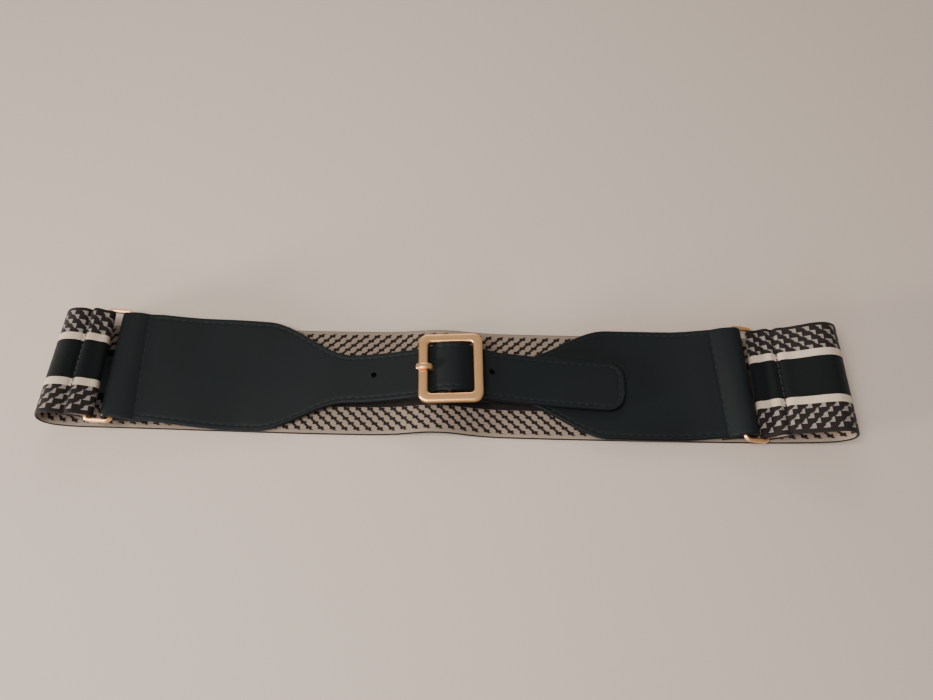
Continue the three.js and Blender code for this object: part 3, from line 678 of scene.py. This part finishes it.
# Its stitching runs along both edges and round the tip, on both faces, and across the hem
THREAD, THREAD_PITCH, EDGE_SUNK, SEAM_SUNK = (2.6, 0.45, 0.36), 3.4, 0.02, 0.08
corner = np.linspace(0, np.pi / 2, 8)
reach = TIP_RADIUS - STITCH_INSET
along_edge = np.linspace(strap_seam + 2, strap_tip - TIP_RADIUS, 200)
edge_v = np.interp(along_edge, strap["s"], strap["half"]) - STITCH_INSET
far_line = np.stack([along_edge, edge_v], axis=1)
far_corner = np.stack([strap_tip - TIP_RADIUS + reach * np.sin(corner),
                       STRAP_WIDTH / 2 - TIP_RADIUS + reach * np.cos(corner)], axis=1)
half_line = np.vstack([far_line, far_corner])
strap_line = np.vstack([half_line, half_line[::-1] * [1, -1]])
across_panel = [(0, -23.0), (0, 23.0)]
strap_thread = solid("strap_thread", *together(
    *(stitches(strap, strap_line, face, THREAD_PITCH, THREAD, EDGE_SUNK) for face in (1, -1)),
    *(stitches(strap, np.add([(seam, 0)], across_panel), 1, THREAD_PITCH, THREAD, SEAM_SUNK)
      for seam in (strap_seam, strap_tail))))
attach(strap_thread, "root")

# Waxed polyester thread, dyed to match the leather and a little paler
green_thread, tree, output = new_material("waxed_green_black_thread")
surface = add(tree, "BsdfPrincipled", {
    "Base Color": linear("#171e20"), "Roughness": 0.6, "Specular IOR Level": 0.3})
tree.links.new(surface.outputs[0], output.inputs[0])
strap_thread.data.materials.append(green_thread)


# Leather chape panel
# The same leather. Its narrow end is folded round the buckle's centre bar under the strap, and its wide
# end is hemmed round the right ring.
CHAPE_WIDTH, CHAPE_TAPER_START, CHAPE_HEM_START, CHAPE_SEAM_X = 21.0, 32.5, 83.0, 120.6
chape_rows = np.vstack([
    path((32, 2.9, 2.8, 0, 0.1), (24, 3.5, 3.5, 0, 0.4), (17, 4.8, 4.8, 2, 0.7), (10.5, 6.4, 6.4, 3, 0.9)),
    fold(CENTRE_BAR, CENTRE_BAR["radius"] + GAP + LEATHER_THICKNESS / 2, 285, 70),
    path((8.4, 11.5, 11.5, 3, 0.9), (12.4, 9.4, 9.4, 3, 0.8), (17, 8.3, 8.3, 2, 0.5), (24, 7.1, 7.1, 0, 0),
         (31, 6.2, 6.2, 0, -0.3), (38, 5.4, 5.4, 0, -0.4), (45, 4.9, 4.8, 0, -0.4),
         (52, 4.5, 4.3, 0, -0.3), (59, 4.3, 3.9, 0, -0.2), (66, 4.2, 3.6, 0, -0.2),
         (74, 4.2, 3.6, 0, -0.2), (84, 4.1, 3.8, 0, -0.3), (95, 3.9, 4.4, 0, -0.4),
         (105, 3.8, 5.5, 0, -0.3), (113, 4.5, 6.7, 2, 0.1), (120.6, 5.9, 7.9, 4, 0.5),
         (124.8, 9, 9.4, 2.5, 0.7)),
    fold({**ring_bar(RIGHT_RING, -1), "x": 129, "y": 0.7, "z": 7.6, "turn": 2}, leather_fold, 105, -95),
    path((124.2, 4.4, 5.3, 2.5, 0.6), (120.6, 3.6, 5.5, 4, 0.5), (118, 2.8, 4.7, 3, 0.4)),
])


def chape_half(x):
    """Half the width, from the narrow end to the panel, and a little less again in the hem."""
    return np.minimum(taper(CHAPE_WIDTH, LEATHER_WIDTH, CHAPE_TAPER_START, x),
                      taper(LEATHER_WIDTH, HEM_WIDTH, CHAPE_HEM_START, x))


chape = strip(chape_rows, LEATHER_THICKNESS, chape_half, lambda x: np.full_like(x, LEATHER_STEP))
chape_seam, chape_tail = crossing(chape, CHAPE_SEAM_X, 0), crossing(chape, CHAPE_SEAM_X, 1)


def chape_pinch(s, v, half):
    """The stitch groove along both edges, and the seam of the hem."""
    groove = dent(half - np.abs(v) - STITCH_INSET, GROOVE_WIDTH) * (s < chape_seam)
    return GROOVE_DEPTH * groove + seam_pinch(s - chape_seam)


def chape_lift(s, v, half):
    """Slow swells of a fifth of a millimetre over the panel's open part."""
    t = chape_seam - s
    open_part = np.clip(t / 12, 0, 1) * np.clip((60 - t) / 20, 0, 1)
    return 0.18 * open_part * np.sin(t / 11 + 1.1) * np.cos(v / 11)


chape.update(pinch=chape_pinch, lift=chape_lift)
chape_panel = strip_surface("chape_panel", chape, edge_columns, EDGE_ROUND)

# The slot for the prong's loop lies a little to the prong's side of the centre bar
SLOT_SIZE, SLOT_SHIFT, SLOT_POWER = (12, 4, 10), 1.4, 0.15
slot_points, slot_faces = superellipsoid(SLOT_SIZE, SLOT_POWER, SLOT_POWER)
slot_place = [CENTRE_BAR["x"] - SLOT_SHIFT, CENTRE_BAR["y"], CENTRE_BAR["z"]]
cut(chape_panel, solid("slot", slot_points + slot_place, slot_faces))
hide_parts("leather_chape_panel")
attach(chape_panel, "root")
chape_panel.data.materials.append(hide)

along_edge = np.linspace(crossing(chape, 14, 1), chape_seam - 2, 120)
edge_v = np.interp(along_edge, chape["s"], chape["half"]) - STITCH_INSET
edge_lines = [np.stack([along_edge, side * edge_v], axis=1) for side in (-1, 1)]
chape_thread = solid("chape_thread", *together(
    *(stitches(chape, line, face, THREAD_PITCH, THREAD, EDGE_SUNK)
      for line in edge_lines for face in (-1, 1)),
    *(stitches(chape, np.add([(seam, 0)], across_panel), 1, THREAD_PITCH, THREAD, SEAM_SUNK)
      for seam in (chape_seam, chape_tail))))
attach(chape_thread, "root")
chape_thread.data.materials.append(green_thread)


# Buckle frame
# Zinc cast as a square frame with softened edges, its centre bar dropped on two lugs, tumbled and plated
# in pale gold.
BUCKLE_WIDTH, BUCKLE_LENGTH, BUCKLE_BAR, BUCKLE_THICKNESS, BUCKLE_BOTTOM = 27.5, 31.7, 4.0, 2.8, 13.3
BUCKLE_CORNER, WINDOW_CORNER, RIM_SQUARENESS, RIM_SIDES = 4, 1.6, 4.5, 32
LUG_SIZE, LUG_MIDDLE, BAR_OVERLAP = (4.4, 1.9, 6.1), 11.65, 2


def rounded_outline(width, length, radius, corner_cuts=10, side_cuts=6):
    """Points round a rectangle with round corners: for each corner an arc of a quarter turn, then points
    along the side to the next one. Equal counts let two outlines be joined point by point."""
    corners = []
    for k, (x, y) in enumerate(((1, 1), (-1, 1), (-1, -1), (1, -1))):
        angle = np.linspace(0, np.pi / 2, corner_cuts) + k * np.pi / 2
        centre = np.array([x * (width / 2 - radius), y * (length / 2 - radius)])
        corners.append(centre + radius * np.stack([np.cos(angle), np.sin(angle)], axis=1))
    parts = []
    for k in range(4):
        start, end = corners[k][-1], corners[(k + 1) % 4][0]
        t = np.linspace(0, 1, side_cuts + 2)[1:-1, None]
        parts += [corners[k], start + (end - start) * t]
    return np.vstack(parts)


def ring_surface(outer, inner, thickness, squareness, around=24):
    """A closed ring between two flat outlines: its section is a superellipse, the place going from the
    inner to the outer outline as cos to a power, and the height as sin to the same power."""
    angle = np.linspace(0, 2 * np.pi, around, endpoint=False)
    blend = (1 + power(np.cos(angle), 2 / squareness))[None, :, None] / 2
    place = inner[:, None] * (1 - blend) + outer[:, None] * blend
    height = np.broadcast_to(power(np.sin(angle), 2 / squareness) * thickness / 2, place.shape[:2])
    points = np.concatenate([place, height[..., None]], axis=2)
    index = np.arange(points.shape[0] * around).reshape(-1, around)
    down, right = np.roll(index, -1, axis=0), np.roll(index, -1, axis=1)
    quads = np.stack([index, down, np.roll(down, -1, axis=1), right], axis=-1).reshape(-1, 4)
    return points.reshape(-1, 3), quads


def placed(points, place, turn=0.0, slope=0.0):
    """Points sloped about Y, turned about Z and moved, as a ring or the buckle lies."""
    a, b = np.radians(turn), np.radians(slope)
    about_y = np.array([[np.cos(b), 0, np.sin(b)], [0, 1, 0], [-np.sin(b), 0, np.cos(b)]])
    about_z = np.array([[np.cos(a), -np.sin(a), 0], [np.sin(a), np.cos(a), 0], [0, 0, 1]])
    return points @ (about_z @ about_y).T + np.array(place)


window_size = (BUCKLE_WIDTH - 2 * BUCKLE_BAR, BUCKLE_LENGTH - 2 * BUCKLE_BAR)
rim_points, rim_faces = ring_surface(
    rounded_outline(BUCKLE_WIDTH, BUCKLE_LENGTH, BUCKLE_CORNER), rounded_outline(*window_size, WINDOW_CORNER),
    BUCKLE_THICKNESS, RIM_SQUARENESS, RIM_SIDES)
rim_points = rim_points + [0, 0, BUCKLE_BOTTOM + BUCKLE_THICKNESS / 2]
bar_width = 2 * CENTRE_BAR["radius"]
bar_points, bar_faces = superellipsoid((bar_width, bar_width, window_size[1] + BAR_OVERLAP), 0.12, 1, 16, 32)
bar_points = bar_points[:, [0, 2, 1]] * [1, 1, -1] + [0, 0, CENTRE_BAR["z"]]
lug_points, lug_faces = superellipsoid(LUG_SIZE, 0.25, 0.4, 16, 24)
lug_y = window_size[1] / 2 + LUG_SIZE[1] / 2
lugs = [(lug_points + [0, side * lug_y, LUG_MIDDLE], lug_faces) for side in (-1, 1)]
frame_points, frame_faces = together((rim_points, rim_faces), (bar_points, bar_faces), *lugs)
buckle = solid("buckle", placed(frame_points, (BUCKLE["x"], BUCKLE["y"], 0), BUCKLE["turn"]), frame_faces)
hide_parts("buckle_frame")
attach(buckle, "root")

# Pale gold plate over polished zinc: a soft satin that mirrors the room in broad bands, with fine
# hairline scratches from wear
HAIRLINE, WEAR, SCRATCH_DEPTH = 0.9 * MM, 5 * MM, 0.004 * MM
plate, tree, output = new_material("pale_gold_plate")
where = add(tree, "TexCoord").outputs["Object"]
stretched = add(tree, "Mapping", {"Vector": where, "Scale": (1.0, 7.0, 1.0), "Rotation": (0, 0, 0.5)})
hairlines = add(tree, "TexNoise", {"Vector": stretched.outputs[0], "Scale": 1 / HAIRLINE, "Detail": 4.0})
wear = add(tree, "TexNoise", {"Vector": where, "Scale": 1 / WEAR, "Detail": 3.0})
tone = add(tree, "Mix", {"Factor": wear.outputs[0], "A": linear("#f0b77e"), "B": linear("#f8c791")},
           data_type="RGBA")
gloss = add(tree, "MapRange", {"Value": hairlines.outputs[0], "To Min": 0.3, "To Max": 0.38})
bump = add(tree, "Bump", {"Height": hairlines.outputs[0], "Distance": SCRATCH_DEPTH, "Strength": 0.15})
surface = add(tree, "BsdfPrincipled", {
    "Base Color": tone.outputs["Result"], "Metallic": 1.0, "Roughness": gloss.outputs[0],
    "Normal": bump.outputs[0]})
tree.links.new(surface.outputs[0], output.inputs[0])
buckle.data.materials.append(plate)


# Buckle prong
# A cast pin with a loop bent round the centre bar. It comes up through the strap's middle hole and its
# blunt tip lies across the frame's left bar.
prong_rows = np.array([(4.2, 12.5), (2, 12.3), (-0.2, 12.2), (-2, 12.7), (-3.3, 14.2), (-4.3, 16.2),
                       (-5.6, 17.2), (-7.2, 17.4), (-8.8, 17.2), (-9.8, 16.7), (-10.4, 16)])
PRONG_WIDTH, PRONG_THICKNESS, PRONG_TIP, TIP_THINNING = 2.8, 1.6, 1.2, 0.6
PRONG_STEP, PRONG_SIDES = 0.3, 24
LOOP_OUTSIDE, LOOP_INSIDE = 5.6, 3.2
arm_s, arm = smooth(prong_rows[:, [0, 1, 1]], lambda x: np.full_like(x, PRONG_STEP))
slope = np.gradient(arm[:, [0, 2]], axis=0)
slope = slope / np.linalg.norm(slope, axis=1)[:, None]
drawn_in = round_end(arm_s[-1] - arm_s, PRONG_TIP) / PRONG_TIP
angle = np.linspace(0, 2 * np.pi, PRONG_SIDES, endpoint=False)
wide = (PRONG_WIDTH / 2 - drawn_in * PRONG_TIP)[:, None] * power(np.cos(angle), 2 / 3)[None]
thick = (PRONG_THICKNESS / 2 * (1 - TIP_THINNING * drawn_in))[:, None] * power(np.sin(angle), 2 / 3)[None]
arm_points = np.stack([arm[:, :1] - slope[:, 1:] * thick, wide, arm[:, 2:] + slope[:, :1] * thick], axis=-1)
index = np.arange(len(arm) * PRONG_SIDES).reshape(len(arm), PRONG_SIDES)
nxt = np.roll(index, -1, axis=1)
arm_faces = np.stack([index[:-1], nxt[:-1], nxt[1:], index[1:]], axis=-1).reshape(-1, 4).tolist()
arm_faces += [index[0][::-1].tolist(), index[-1].tolist()]
loop_points, loop_faces = ring_surface(
    rounded_outline(LOOP_OUTSIDE, LOOP_OUTSIDE, LOOP_OUTSIDE / 2),
    rounded_outline(LOOP_INSIDE, LOOP_INSIDE, LOOP_INSIDE / 2), PRONG_WIDTH, 3)
loop_points = loop_points[:, [0, 2, 1]] * [1, -1, 1] + [CENTRE_BAR["x"], 0, CENTRE_BAR["z"]]
prong_points, prong_faces = together((arm_points.reshape(-1, 3), arm_faces), (loop_points, loop_faces))
prong_points = placed(prong_points - [BUCKLE["x"], 0, 0], (BUCKLE["x"], BUCKLE["y"], 0), BUCKLE["turn"])
prong = solid("prong", prong_points, prong_faces)
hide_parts("buckle_prong")
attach(prong, "root")
prong.data.materials.append(plate)


# Rings
# Steel wire bent to a rectangle, butt-welded and plated like the buckle. The inner bar lies in the leather
# hem and the outer bar in the elastic's.
RING_INNER_LENGTH, RING_CORNER = 50.4, 1.9
for name, node, ring in (("left_ring", "ring_left", LEFT_RING), ("right_ring", "ring_right", RIGHT_RING)):
    outline = rounded_outline(RING_BAR_SPACING + WIRE, RING_INNER_LENGTH + 2 * WIRE, RING_CORNER + WIRE / 2)
    opening = rounded_outline(RING_BAR_SPACING - WIRE, RING_INNER_LENGTH, RING_CORNER - WIRE / 2)
    points, faces = ring_surface(outline, opening, WIRE, 2)
    points = placed(points, (ring["x"], ring["y"], ring["z"]), ring["turn"], ring["slope"])
    wire = solid(name, points, faces.tolist())
    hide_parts(node)
    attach(wire, "root")
    wire.data.materials.append(plate)
